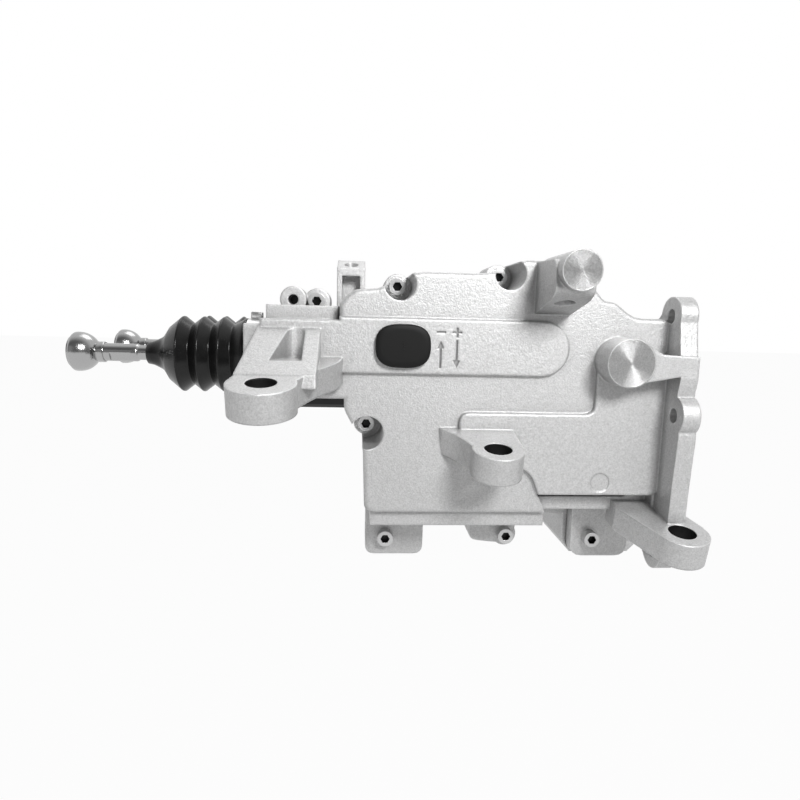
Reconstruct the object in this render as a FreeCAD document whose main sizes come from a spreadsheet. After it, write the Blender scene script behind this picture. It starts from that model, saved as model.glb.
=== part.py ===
"""Twin clutch actuator: a die-cast casing with three bolt ears holds two motors, each of which
turns a lead screw through a gear train and pushes one ball-ended rod out of a rubber boot.

Frame: origin at the middle of the left ear's bolt hole on the ear's upper face, +X towards the
bolt flange, +Y from the front face of the casing to its rear housing, +Z up. Millimetres.
"""
import FreeCAD, Part
import Sketcher
import math
import os

doc = FreeCAD.newDocument("clutch_actuator")
sheet = doc.addObject("Spreadsheet::Sheet", "Sizes")
nodes = []
cell_row = [0]


class Size:
    """A length or angle with the spreadsheet expression it comes from."""

    def __init__(self, number, text):
        self.number = number
        self.text = text

    def __float__(self):
        return self.number

    def __neg__(self):
        return Size(-self.number, f"(-1 * {self.text})")

    def __add__(self, other):
        return Size(self.number + float(other), f"({self.text} + {text(other)})")

    def __sub__(self, other):
        return Size(self.number - float(other), f"({self.text} - {text(other)})")

    def __mul__(self, other):
        return Size(self.number * float(other), f"({self.text} * {text(other)})")

    def __truediv__(self, other):
        return Size(self.number / float(other), f"({self.text} / {text(other)})")

    def __radd__(self, other):
        return self + other

    def __rsub__(self, other):
        return -self + other

    def __rmul__(self, other):
        return self * other


def text(value):
    """The expression of a size, or a plain number written out."""
    return value.text if isinstance(value, Size) else repr(float(value))


def size(word, number, note):
    """One driving dimension: a spreadsheet row with its note, its number and its alias."""
    cell_row[0] += 1
    sheet.set(f"A{cell_row[0]}", note)
    sheet.set(f"B{cell_row[0]}", str(number))
    sheet.setAlias(f"B{cell_row[0]}", word)
    return Size(float(number), f"Sizes.{word}")


def bind(thing, **values):
    """Tie properties of an object to expressions; an underscore pair stands for a dot."""
    for prop, value in values.items():
        thing.setExpression(prop.replace("__", "."), text(value))


def root_of(square):
    """Square root of a size made of other sizes."""
    return Size(math.sqrt(square.number), f"sqrt({square.text})")


def cosine(angle):
    return Size(math.cos(math.radians(angle.number)), f"cos({angle.text} * 1deg)")


def sine(angle):
    return Size(math.sin(math.radians(angle.number)), f"sin({angle.text} * 1deg)")


# Casing depth levels, front to back.
face_y = size("face_y", 45, "outer face of the raised pads")
wall_y = size("wall_y", 48, "outer face of the plain casing wall")
ledge_y = size("ledge_y", 57, "face of the strip under the lower pad")
strip_y = size("strip_y", 59, "face of the strip above the snout")
screw_seat_y = size("screw_seat_y", 84, "seat of the casing screws")
parting_y = size("parting_y", 93, "joint face of the front casing")
gasket_t = size("gasket_thickness", 0.8, "gasket between the two casings")
rear_y = size("rear_y", 168, "outer rear face of the rear housing")
wall_t = size("wall_thickness", 5, "casing wall")

# Casing outline, seen from the front.
left_x = size("left_x", -8, "shoulder behind the boots")
step_x = size("step_x", 38, "left side of the upper casing step")
lower_left_x = size("lower_left_x", 51, "left side of the motor chamber")
right_x = size("right_x", 222, "left face of the bolt flange")
snout_top_z = size("snout_top_z", 30, "top of the snout block")
snout_low_z = size("snout_low_z", -14, "underside of the snout block")
top_z = size("top_z", 57.5, "main upper edge")
casing_low_z = size("casing_low_z", -80, "lower edge of the front casing")
rear_low_z = size("rear_low_z", -95, "lower edge of the rear housing")

# Drives: two rods side by side, each with its own gear train and motor.
rod_z = size("rod_z", 8.15, "height of both push rods")
front_rod_y = size("front_rod_y", 70, "depth of the front push rod")
rod_spacing = size("rod_spacing", 58, "distance between the push rods")
rod_r = size("rod_radius", 5.1, "push rod shank")
ball_r = size("ball_radius", 11.3, "ball end of the push rod")
ball_x = size("ball_x", -113.5, "ball centre of the front rod, drawn in")
rear_set_back = size("rear_set_back", 3.5, "rear rod stands this much further in")
nose_r = size("nose_radius", 9.2, "flat nose on the ball")
nose_x = size("nose_length", 4.0, "flat of the nose from the ball centre")
neck_r = size("neck_radius", 4.2, "rod under the boot's small end")
tube_r = size("tube_radius", 9, "push tube")
tube_left_x = size("tube_left_x", -40, "outer end of the push tube")
nut_r = size("nut_radius", 14, "lead screw nut")
nut_left_x = size("nut_left_x", 36, "left face of the nut")
nut_right_x = size("nut_right_x", 48, "right face of the nut")
screw_r = size("screw_radius", 5, "lead screw")
wheel_r = size("hand_wheel_radius", 15.2, "notched wheel behind the plug")
tapped_r = size("tapped_hole_radius", 3, "M6 hole beside the first casing screw")
board_screw_r = size("board_screw_radius", 1.5, "screws that hold the control board")
running = size("running_clearance", 0.05, "radial clearance of a shaft in its bearing")
stroke_gap = size("free_clearance", 0.6, "radial gap between parts that never touch")
bush_r = size("bush_radius", 12.5, "outside of the guide bush")
bush_len = size("bush_length", 14, "guide bush")
spigot_r = size("spigot_radius", 18, "spigot that carries the boot")
spigot_len = size("spigot_length", 12, "spigot that carries the boot")
boot_wall = size("boot_wall", 2, "rubber wall of the boot")
boot_peak_r = size("boot_peak_radius", 21.7, "boot folds, outer")
boot_valley_r = size("boot_valley_radius", 17.6, "boot folds, inner")
boot_peak_x = size("boot_peak_x", -54.3, "first fold of the boot")
boot_pitch = size("boot_pitch", 11.4, "distance between boot folds")
boot_small_x = size("boot_small_x", -75, "small end of the boot")
clamp_w = size("clamp_width", 9, "boot clamp band")
clamp_t = size("clamp_thickness", 0.8, "boot clamp band")

carrier_x = size("carrier_x", 98, "left face of the bearing carrier")
carrier_t = size("carrier_thickness", 8, "bearing carrier plate")
bearing_r = size("bearing_radius", 14, "outside of the screw bearing")
gear_gap = size("gear_gap", 4, "between the carrier and the gears")
gear_w = size("gear_width", 10, "face width of the gears")
module = size("gear_module", 1.25, "tooth module")
motor_r = size("motor_radius", 20, "motor case")
motor_len = size("motor_length", 32, "motor case")
motor_off = size("motor_offset", 6, "motor axis behind its rod axis")
shaft_r = size("motor_shaft_radius", 3, "motor shaft")
pin_r = size("idler_pin_radius", 4, "idler pin")
screw_teeth, idler_teeth, pinion_teeth = 26, 32, 12

# Bolt ears, with their holes leaning towards the front by the same angle.
ear_tilt = size("ear_tilt", 12, "lean of the three ears")
ear_hole_r = size("ear_hole_radius", 7.5, "bolt hole of an ear")
ear_t = size("ear_thickness", 15, "ear along its bolt hole")
left_ear_r = size("left_ear_radius", 17, "round of the left ear")
mid_ear_r = size("mid_ear_radius", 14, "round of the middle ear")
mid_ear_x = size("mid_ear_x", 120.3, "middle ear hole")
mid_ear_y = size("mid_ear_y", 20, "middle ear hole")
mid_ear_z = size("mid_ear_z", -35.2, "middle ear hole")
right_ear_r = size("right_ear_radius", 14.5, "round of the right ear")
right_ear_x = size("right_ear_x", 226.5, "right ear hole")
right_ear_y = size("right_ear_y", 22, "right ear hole")
right_ear_z = size("right_ear_z", -81.5, "right ear hole")

# Machined bosses on the front face.
upper_boss_x = size("upper_boss_x", 154.8, "upper boss")
upper_boss_y = size("upper_boss_y", 7, "machined end of the upper boss")
upper_boss_z = size("upper_boss_z", 57.6, "upper boss")
upper_boss_r = size("upper_boss_radius", 10.3, "upper boss")
upper_hole_r = size("upper_boss_hole_radius", 5.5, "hole down through the upper boss")
lower_boss_x = size("lower_boss_x", 193.4, "lower boss")
lower_boss_y = size("lower_boss_y", 29, "machined end of the lower boss")
lower_boss_z = size("lower_boss_z", 10.7, "lower boss")
lower_boss_r = size("lower_boss_radius", 13.4, "lower boss")

# Capsule pad over the front drive, and the oval service opening in it.
capsule_r = size("capsule_radius", 15.5, "half height of the capsule pad")
capsule_z = size("capsule_z", 16.5, "middle of the capsule pad")
capsule_end_x = size("capsule_end_x", 149, "centre of the capsule's round end")
plug_x = size("plug_x", 70.2, "middle of the service opening")
plug_z = size("plug_z", 16.7, "middle of the service opening")
plug_w = size("plug_width", 31, "head of the plug")
plug_high = size("plug_height", 24.5, "head of the plug")
plug_lip = size("plug_lip", 3.5, "head of the plug beyond its opening")
plug_t = size("plug_head_thickness", 4, "head of the plug")

# Bolt flange on the right.
flange_t = size("flange_thickness", 10, "bolt flange")
tab_r = size("tab_radius", 11, "round of a flange tab")
tab_hole_r = size("tab_hole_radius", 4.2, "flange bolt hole")
top_tab = (size("top_tab_y", 46, "top flange hole"), size("top_tab_z", 36.7, "top flange hole"))
mid_tab = (size("mid_tab_y", 34.5, "middle flange hole"), size("mid_tab_z", -18.3, "middle flange hole"))
low_tab = (size("low_tab_y", 46, "low flange hole"), size("low_tab_z", -101, "low flange hole"))

# Casing screws with their bosses.
cap_r = size("screw_head_radius", 5, "casing screw head")
cap_h = size("screw_head_height", 6, "casing screw head")
cap_socket_r = size("socket_radius", 2.9, "corner radius of the hexagon socket")
thread_r = size("screw_thread_radius", 3, "casing screw shank")
thread_len = size("screw_length", 22, "casing screw under its head")
lug_r = size("lug_radius", 8.2, "round of a screw lug")
screw_places = [
    (size("s1x", 20.4, "screw 1"), size("s1z", 40.5, "screw 1")),
    (size("s2x", 68.3, "screw 2"), size("s2z", 50.3, "screw 2")),
    (size("s3x", 129.5, "screw 3"), size("s3z", 57.5, "screw 3")),
    (size("s4x", 51.1, "screw 4"), size("s4z", -33.1, "screw 4")),
    (size("s5x", 64.4, "screw 5"), size("s5z", -107.2, "screw 5")),
    (size("s6x", 142, "screw 6"), size("s6z", -105.5, "screw 6")),
    (size("s7x", 198.9, "screw 7"), size("s7z", -107.8, "screw 7")),
]


def body(name):
    """A new sub-part whose label is the name of its node."""
    made = doc.addObject("PartDesign::Body", name)
    made.Label = name
    nodes.append(made)
    return made


def sketch(part, role, height, tilt=None):
    """A sketch on one origin plane of its own body, shifted along the plane's normal."""
    made = part.newObject("Sketcher::SketchObject", part.Name + "_sketch")
    plane = next(f for f in part.Origin.OriginFeatures if f.Role == role)
    made.AttachmentSupport = [(plane, "")]
    made.MapMode = "FlatFace"
    bind(made, AttachmentOffset__Base__z=height)
    return made


def polygon(made, points):
    """Closed outline with each corner held by its own two dimensions."""
    count = len(points)
    first = made.GeometryCount
    spots = [FreeCAD.Vector(float(x), float(y), 0) for x, y in points]
    for i in range(count):
        made.addGeometry(Part.LineSegment(spots[i], spots[(i + 1) % count]))
    for i in range(count):
        made.addConstraint(Sketcher.Constraint("Coincident", first + i, 2, first + (i + 1) % count, 1))
    for i, (x, y) in enumerate(points):
        for kind, value in (("DistanceX", x), ("DistanceY", y)):
            held = made.addConstraint(Sketcher.Constraint(kind, -1, 1, first + i, 1, float(value)))
            made.setExpression(f"Constraints[{held}]", text(value))


def soft(points, radius, steps=3, keep=()):
    """The outline with its corners rounded by short runs, except the corners in keep."""
    out = []
    for i, (x, y) in enumerate(points):
        (ax, ay), (bx, by) = points[i - 1], points[(i + 1) % len(points)]
        before = math.hypot(float(ax) - float(x), float(ay) - float(y))
        after = math.hypot(float(bx) - float(x), float(by) - float(y))
        reach = min(radius, before * 0.45, after * 0.45)
        if i in keep or reach < 0.5:
            out.append((x, y))
            continue
        for k in range(steps + 1):
            t = k / steps
            a = (1 - t) ** 2 * reach / before
            b = t ** 2 * reach / after
            out.append(((ax - x) * a + (bx - x) * b + x, (ay - y) * a + (by - y) * b + y))
    return out


def circle(made, x, y, radius):
    """Circle held by its centre and radius."""
    spot = FreeCAD.Vector(float(x), float(y), 0)
    ring = made.addGeometry(Part.Circle(spot, FreeCAD.Vector(0, 0, 1), float(radius)))
    for kind, value in (("DistanceX", x), ("DistanceY", y)):
        held = made.addConstraint(Sketcher.Constraint(kind, -1, 1, ring, 3, float(value)))
        made.setExpression(f"Constraints[{held}]", text(value))
    held = made.addConstraint(Sketcher.Constraint("Radius", ring, float(radius)))
    made.setExpression(f"Constraints[{held}]", text(radius))


def feature(part, kind, made, **values):
    """A pad, pocket or revolution from a sketch."""
    done = part.newObject("PartDesign::" + kind, part.Name + "_" + kind.lower())
    done.Profile = made
    for prop in ("Reversed", "Type", "ReferenceAxis", "Midplane"):
        if prop in values:
            setattr(done, prop, values.pop(prop))
    done.Refine = False
    bind(done, **values)
    return done


def changed(part, sign):
    """Recompute and stop if the last feature added or cut nothing."""
    before = part.Shape.Volume if part.Shape and not part.Shape.isNull() else 0.0
    doc.recompute()
    after = part.Shape.Volume
    if (after - before) * sign < 0.01:
        raise RuntimeError(f"{part.Name}: a feature changed nothing ({before:.1f} to {after:.1f})")


def drawn(part, role, height, shapes):
    """A sketch of one outline, one circle (x, y, radius), or a list of either."""
    made = sketch(part, role, height)
    single = isinstance(shapes, tuple) or (isinstance(shapes[0], tuple) and len(shapes[0]) == 2)
    for shape in [shapes] if single else shapes:
        if isinstance(shape, list):
            polygon(made, shape)
        else:
            circle(made, *shape)
    return made


def pad_y(part, shapes, low, high):
    """Pad outlines drawn in X and Z from one depth to another."""
    feature(part, "Pad", drawn(part, "XZ_Plane", -low, shapes), Reversed=True, Length=high - low)
    changed(part, 1)


def cut_y(part, shapes, low, high):
    """Cut outlines drawn in X and Z from one depth to another."""
    feature(part, "Pocket", drawn(part, "XZ_Plane", -low, shapes), Length=high - low)
    changed(part, -1)


def pad_x(part, shapes, low, high):
    """Pad outlines drawn in Y and Z along X."""
    feature(part, "Pad", drawn(part, "YZ_Plane", low, shapes), Length=high - low)
    changed(part, 1)


def cut_x(part, shapes, low, high):
    """Cut outlines drawn in Y and Z along X."""
    feature(part, "Pocket", drawn(part, "YZ_Plane", low, shapes), Reversed=True, Length=high - low)
    changed(part, -1)


def cut_z(part, shapes, low, high):
    """Cut outlines drawn in X and Y along Z."""
    feature(part, "Pocket", drawn(part, "XY_Plane", low, shapes), Reversed=True, Length=high - low)
    changed(part, -1)


def turned(name, profile, x, y, z):
    """A piece turned about its own X axis from a profile of (x, radius) points."""
    part = body(name)
    made = drawn(part, "XZ_Plane", 0, profile)
    feature(part, "Revolution", made, ReferenceAxis=(made, ["H_Axis"]), Angle=360)
    changed(part, 1)
    bind(part, Placement__Base__x=x, Placement__Base__y=y, Placement__Base__z=z)
    return part


def round_edges(part, radius, wanted):
    """Fillet every edge of the body's present shape that the test accepts."""
    tip = part.Tip
    names = [f"Edge{i + 1}" for i, edge in enumerate(tip.Shape.Edges) if wanted(edge)]
    done = part.newObject("PartDesign::Fillet", part.Name + "_fillet")
    done.Base = (tip, names)
    bind(done, Radius=radius)
    doc.recompute()
    if "Invalid" in done.State:
        raise RuntimeError(f"{part.Name}: {len(names)} edges were not rounded")


def upright(edge, spots, axis):
    """True for a straight edge along an axis through one of the given places in the other two."""
    if edge.Curve.TypeId != "Part::GeomLine" or abs(edge.tangentAt(edge.FirstParameter)[axis]) < 0.999:
        return False
    middle = edge.CenterOfMass
    others = [middle[i] for i in range(3) if i != axis]
    return any(abs(others[0] - float(a)) < 0.05 and abs(others[1] - float(b)) < 0.05 for a, b in spots)


def ear(part, x, y, z, outline, radius, thickness):
    """A leaning bolt ear: a slab whose outline is drawn about its hole, and the round end."""
    for shape in (outline, (0, 0, radius)):
        made = sketch(part, "XY_Plane", z)
        bind(made, AttachmentOffset__Base__x=x, AttachmentOffset__Base__y=y)
        made.AttachmentOffset = FreeCAD.Placement(
            made.AttachmentOffset.Base, FreeCAD.Rotation(FreeCAD.Vector(1, 0, 0), float(ear_tilt)))
        bind(made, AttachmentOffset__Rotation__Angle=ear_tilt)
        if isinstance(shape, list):
            polygon(made, shape)
        else:
            circle(made, *shape)
        feature(part, "Pad", made, Reversed=True, Length=thickness)
        changed(part, 1)


def ear_hole(part, x, y, z, thickness):
    """The bolt hole of an ear, square to its leaning face."""
    made = sketch(part, "XY_Plane", z)
    bind(made, AttachmentOffset__Base__x=x, AttachmentOffset__Base__y=y)
    made.AttachmentOffset = FreeCAD.Placement(
        made.AttachmentOffset.Base, FreeCAD.Rotation(FreeCAD.Vector(1, 0, 0), float(ear_tilt)))
    bind(made, AttachmentOffset__Rotation__Angle=ear_tilt)
    circle(made, 0, 0, ear_hole_r)
    feature(part, "Pocket", made, Length=thickness * 3, Midplane=True)
    changed(part, -1)


def oval(x, z, width, high):
    """Corner points of the plug's outline: an octagon whose corners are then rounded."""
    a, b, c = width / 2, high / 2, high / 4
    return [(x - a, z - c), (x - a + c, z - b), (x + a - c, z - b), (x + a, z - c),
            (x + a, z + c), (x + a - c, z + b), (x - a + c, z + b), (x - a, z + c)]


# Drive axes: the idler and motor lie below each screw, a little towards the joint of the casings.
screw_pitch_r = module * screw_teeth / 2
idler_pitch_r = module * idler_teeth / 2
pinion_pitch_r = module * pinion_teeth / 2
first_reach = screw_pitch_r + idler_pitch_r
idler_z = rod_z - root_of(first_reach * first_reach - motor_off * motor_off)
motor_z = idler_z - idler_pitch_r - pinion_pitch_r
rear_rod_y = front_rod_y + rod_spacing
gear_left_x = carrier_x + carrier_t + gear_gap
gear_pocket_r = screw_pitch_r + module + 1
cavity_y = ledge_y - 3
motor_floor_z = casing_low_z + 1
open_floor_z = casing_low_z + wall_t + 3

# Front casing: the wall block, drawn round its outline, then every pad and boss on its face.
casing = body("front_casing")
outline = [
    (left_x, snout_top_z), (step_x - 3, snout_top_z), (step_x - 3, snout_top_z + 9),
    (step_x + 5, top_z - 10), (step_x + 18, top_z - 10), (step_x + 38, top_z),
    (step_x + 76, top_z), (step_x + 92, top_z + 3), (step_x + 97, top_z + 8),
    (step_x + 128, top_z + 8), (step_x + 146, snout_top_z + 14), (right_x - 32, snout_top_z + 14),
    (right_x - 20, snout_top_z + 5), (right_x + flange_t / 2, snout_top_z + 5),
    (right_x + flange_t / 2, casing_low_z), (lower_left_x, casing_low_z),
    (lower_left_x - 2, screw_places[3][1] - 7), (step_x, snout_low_z - 6), (step_x, snout_low_z),
    (left_x, snout_low_z),
]
sharp = (1, 2, 13, 14, 18)
pad_y(casing, soft(outline, 5, 2, sharp), wall_y, parting_y)
round_edges(casing, 2.4, lambda edge: all(abs(v.Point.y - float(wall_y)) < 0.01 for v in edge.Vertexes)
            and edge.CenterOfMass.x < float(right_x) + 4)
cut_y(casing, [(x, z, lug_r + 0.6) for x, z in screw_places[1:3]]
      + [(screw_places[3][0], screw_places[3][1], lug_r + 1.4)], wall_y - 1, screw_seat_y)
pad_y(casing, [(left_x, capsule_z - capsule_r), (capsule_end_x, capsule_z - capsule_r),
               (capsule_end_x, capsule_z + capsule_r), (step_x - 3, capsule_z + capsule_r),
               (step_x - 3, snout_top_z), (left_x, snout_top_z)], face_y, wall_y + 3)
pad_y(casing, (capsule_end_x, capsule_z, capsule_r), face_y, wall_y + 3)
pad_y(casing, soft([(mid_ear_x - 17, mid_ear_z), (mid_ear_x - 17, mid_ear_z + 15),
               (lower_boss_x - 12, mid_ear_z + 15),
               (lower_boss_x - 12, lower_boss_z), (right_x + 1, lower_boss_z), (right_x + 1, casing_low_z + 12),
               (mid_ear_x + 31, casing_low_z + 12), (mid_ear_x + 26, mid_ear_z - 20)], 6, 4, (6,)),
      face_y, wall_y + 3)
round_edges(casing, 1.3, lambda edge: all(abs(v.Point.y - float(face_y)) < 0.01 for v in edge.Vertexes)
            and edge.CenterOfMass.x < float(right_x) - 1)
# The strip under the pads lies further back, and a rounded rail runs along the lower left edge.
cut_y(casing, [(mid_ear_x + 37, casing_low_z - 1), (right_x - 1, casing_low_z - 1),
               (right_x - 1, casing_low_z + 12), (mid_ear_x + 31, casing_low_z + 12)], face_y - 1, ledge_y)
pad_y(casing, [(lower_left_x + 3, casing_low_z + 0.5), (mid_ear_x + 37, casing_low_z + 0.5),
               (mid_ear_x + 37, casing_low_z - 9), (lower_left_x + 3, casing_low_z - 9)],
      wall_y + 5, parting_y)
pad_y(casing, [(left_x + 1.5, snout_top_z - 2), (step_x - 4, snout_top_z - 2), (step_x - 4, snout_top_z + 7.6),
               (left_x + 1.5, snout_top_z + 7.6)], strip_y, parting_y)

# Hollow for the drives, with room for the screw gear, then the bores and the service opening.
scallop = lug_r + 5
s2x, s2z = screw_places[1]
s3x, s3z = screw_places[2]
s4x, s4z = screw_places[3]
inner_top = [
    (left_x + wall_t, snout_top_z - wall_t), (step_x + 3, snout_top_z - wall_t), (step_x + 8, s2z - scallop),
    (s2x + scallop, s2z - scallop), (s2x + scallop + 4, s3z - scallop), (s3x + scallop + 7, s3z - scallop),
    (right_x - 46, snout_top_z + 8), (right_x - 14, snout_top_z - 3),
]
inner_left = [
    (s4x + scallop, s4z - scallop + 2), (s4x + scallop, s4z + scallop), (step_x + 3, snout_low_z + wall_t),
    (left_x + wall_t, snout_low_z + wall_t),
]
cut_y(casing, inner_top + [(right_x - 14, open_floor_z), (carrier_x + 50, open_floor_z),
                           (carrier_x + 50, motor_floor_z), (lower_left_x + wall_t, motor_floor_z)]
      + inner_left, cavity_y, parting_y)
cut_x(casing, (front_rod_y, rod_z, gear_pocket_r), gear_left_x - 1, gear_left_x + gear_w + 1)
cut_y(casing, oval(plug_x, plug_z, plug_w - plug_lip * 2, plug_high - plug_lip * 2), face_y - 1, cavity_y + 1)

# Bosses: the upper one stands on a buttress and has a hole down through it.
pad_y(casing, (upper_boss_x, upper_boss_z, upper_boss_r), upper_boss_y, wall_y + 2)
pad_x(casing, soft([(wall_y + 2, upper_boss_z + 7), (upper_boss_y + 9, upper_boss_z + 6),
                    (upper_boss_y + 5, upper_boss_z - 10), (upper_boss_y + 12, upper_boss_z - 14.5),
                    (wall_y + 2, upper_boss_z - 22)], 4, 3, (0, 4)), upper_boss_x - 11, upper_boss_x + 9.5)
pad_y(casing, (lower_boss_x, lower_boss_z, lower_boss_r), lower_boss_y, wall_y)
pad_y(casing, [(lower_boss_x - 4, lower_boss_z - lower_boss_r + 0.5), (right_x + flange_t, lower_boss_z - 5),
               (right_x + flange_t, lower_boss_z + 4), (lower_boss_x + 18, lower_boss_z + 5),
               (lower_boss_x + 6, lower_boss_z + lower_boss_r - 2)], lower_boss_y + 1, wall_y + 1)

# Bolt flange with its three tabs.
flange_profile = [
    (parting_y, snout_top_z), (wall_y + 12, snout_top_z + 4), (top_tab[0] + 3, top_tab[1] + tab_r),
    (top_tab[0] - 9, top_tab[1] + 7), (lower_boss_y + 4, lower_boss_z + 7), (lower_boss_y, lower_boss_z - 6),
    (lower_boss_y + 4, mid_tab[1] + 8), (mid_tab[0] - 8, mid_tab[1] - 8), (lower_boss_y, -60),
    (lower_boss_y + 1, -85), (low_tab[0] - 9, low_tab[1] - 7), (low_tab[0] + 4, low_tab[1] - tab_r),
    (low_tab[0] + 16, low_tab[1]), (parting_y, casing_low_z),
]
pad_x(casing, soft(flange_profile, 6, 3, (0, 13)), right_x, right_x + flange_t)
pad_x(casing, [(y, z, tab_r) for y, z in (top_tab, mid_tab, low_tab)], right_x, right_x + flange_t)

# Bolt ears. The left one stands on two ribs that frame a pocket.
ear(casing, 0, 0, 0,
    soft([(-left_ear_r, -1), (left_x - 1, wall_y / cosine(ear_tilt) + 3), (step_x, wall_y / cosine(ear_tilt) + 3),
          (step_x - 2, wall_y / cosine(ear_tilt) - 12), (step_x - 14, 21), (left_ear_r - 1, 5),
          (left_ear_r - 6, -6), (6 - left_ear_r, -6)], 7, 3, (0, 1, 2, 6, 7)), left_ear_r, ear_t)
ear(casing, mid_ear_x, mid_ear_y, mid_ear_z,
    soft([(-mid_ear_r + 1, 3), (-mid_ear_r - 5, 17), (-mid_ear_r * 2, 27), (-mid_ear_r * 2, 31), (mid_ear_r, 31),
          (mid_ear_r, 0), (mid_ear_r - 5, -5), (5 - mid_ear_r, -5)], 6, 3, (0, 3, 4, 5, 6, 7)), mid_ear_r, ear_t)
ear(casing, right_ear_x, right_ear_y, right_ear_z,
    [(-right_ear_r + 1, -5), (-27, 27), (-27, 38), (2, 38), (2, 32), (9, 22), (right_ear_r, 4), (8, -6)],
    right_ear_r, ear_t)
made = sketch(casing, "YZ_Plane", left_x - 9)
polygon(made, [(wall_y + 2, snout_top_z - 3), (wall_y - 2, snout_top_z - 4), (11, 3), (10, -4), (wall_y + 2, 0)])
feature(casing, "Pad", made, Length=25 - left_x + 9)
changed(casing, 1)
cut_z(casing, [(left_x - 12, -8), (-left_ear_r - 0.5, -1), (left_x - 0.5, wall_y - 1), (left_x - 12, wall_y - 1)],
      1, snout_top_z + 2)
cut_z(casing, soft([(8, wall_y - 3), (17, wall_y - 3), (17, 12), (-2, 12)], 4), 9, snout_top_z + 2)

# Room for the cuff of the front boot, then the spigot that it grips.
cuff_r = spigot_r + boot_wall + 0.6
cut_x(casing, (front_rod_y, rod_z, cuff_r + clamp_t + 0.6), left_x - spigot_len, left_x)
pad_x(casing, (front_rod_y, rod_z, spigot_r), left_x - spigot_len, left_x)
cut_x(casing, (front_rod_y, rod_z, bush_r), left_x - spigot_len, left_x + wall_t + 1)
for x, y, z in ((0, 0, 0), (mid_ear_x, mid_ear_y, mid_ear_z), (right_ear_x, right_ear_y, right_ear_z)):
    ear_hole(casing, x, y, z, ear_t)
cut_x(casing, [(y, z, tab_hole_r) for y, z in (top_tab, mid_tab, low_tab)],
      right_x - 1, right_x + flange_t + 1)


def lugs(part, low, high):
    """The screw lugs round the joint, the same on the casing, the gasket and the rear housing."""
    pad_y(part, [
        [(left_x + 1.5, snout_top_z - 2), (step_x - 4, snout_top_z - 2), (step_x - 4, snout_top_z + 7.6),
         (left_x + 1.5, snout_top_z + 7.6)],
        [(lower_left_x + 2, casing_low_z + 0.5), (mid_ear_x + 38, casing_low_z + 0.5),
         (mid_ear_x + 38, casing_low_z - 9), (lower_left_x + 2, casing_low_z - 9)],
    ], low, high)
    pad_y(part, [(x, z, lug_r - 0.5) for x, z in screw_places], low, high)
    (x5, z5), (x6, z6), (x7, z7) = screw_places[4:]
    shelf_z = casing_low_z + 1
    pad_y(part, [
        soft([(x5 - 12.5, shelf_z), (x5 + 24.5, shelf_z), (x5 + 24.5, z5 - 12), (x5 - 12.5, z5 - 12)], 6, 4, (0, 1)),
        soft([(x6 - 23, shelf_z), (x6 + 9, shelf_z), (x6 + 6, z6 - 6), (x6 - 6, z6 - 6), (x6 - 23, z6 - 4)], 5, 4,
             (0, 1)),
        soft([(x7 - 12, shelf_z), (x7 + 26, shelf_z), (x7 + 26, z7 - 13), (x7 - 12, z7 - 13)], 8, 4, (0, 1)),
    ], low, high)


# Screw lugs at the joint, their holes, and the tapped boss beside the first screw.
lugs(casing, screw_seat_y, parting_y)
cut_y(casing, (screw_places[0][0], screw_places[0][1], cap_r + 0.8), screw_seat_y - 8, screw_seat_y)
tapped_x, tapped_z = left_x + 14.6, snout_top_z + 11.1
pad_y(casing, (tapped_x, tapped_z, tapped_r + 4.8), screw_seat_y - 6, parting_y)
clearance_holes = [(x, z, thread_r + 0.3) for x, z in screw_places]
cut_y(casing, clearance_holes + [(tapped_x, tapped_z, tapped_r)], screw_seat_y - 7, parting_y + 1)
cut_z(casing, (upper_boss_x - 2, upper_boss_y + 18, upper_hole_r), upper_boss_z - 22, upper_boss_z + 3)

# Sunken marks beside the plug, minus and plus over an up arrow and a down arrow, and the round
# spot that an ejector pin left on the lower pad.
mark_z = plug_z + 8
up_x, down_x = plug_x + 21, plug_x + 30
bar = 0.55
cut_y(casing, [
    [(up_x - 2.6, mark_z - bar), (up_x + 2.6, mark_z - bar), (up_x + 2.6, mark_z + bar), (up_x - 2.6, mark_z + bar)],
    [(down_x - 2.7, mark_z - bar), (down_x - bar, mark_z - bar), (down_x - bar, mark_z - 2.7),
     (down_x + bar, mark_z - 2.7), (down_x + bar, mark_z - bar), (down_x + 2.7, mark_z - bar),
     (down_x + 2.7, mark_z + bar), (down_x + bar, mark_z + bar), (down_x + bar, mark_z + 2.7),
     (down_x - bar, mark_z + 2.7), (down_x - bar, mark_z + bar), (down_x - 2.7, mark_z + bar)],
    [(up_x - bar, mark_z - 20), (up_x + bar, mark_z - 20), (up_x + bar, mark_z - 9), (up_x + 1.9, mark_z - 9),
     (up_x, mark_z - 4.8), (up_x - 1.9, mark_z - 9), (up_x - bar, mark_z - 9)],
    [(down_x - bar, mark_z - 4.2), (down_x - bar, mark_z - 15.4), (down_x - 1.9, mark_z - 15.4),
     (down_x, mark_z - 19.6), (down_x + 1.9, mark_z - 15.4), (down_x + bar, mark_z - 15.4),
     (down_x + bar, mark_z - 4.2)],
    (mid_ear_x + 67, mid_ear_z - 25, 5.6),
], face_y - 1, face_y + 0.6)

# Gasket: the joint face of the two casings without their hollow.
gasket = body("casing_gasket")
joint_y = parting_y + gasket_t
pad_y(gasket, soft(outline, 5, 2, sharp), parting_y, joint_y)
lugs(gasket, parting_y, joint_y)
cut_y(gasket, inner_top + [(right_x - 14, open_floor_z), (carrier_x + 50, open_floor_z),
                           (carrier_x + 50, motor_floor_z), (lower_left_x + wall_t, motor_floor_z)]
      + inner_left, parting_y - 1, parting_y + gasket_t + 1)
cut_y(gasket, clearance_holes, parting_y - 1, joint_y + 1)

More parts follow.
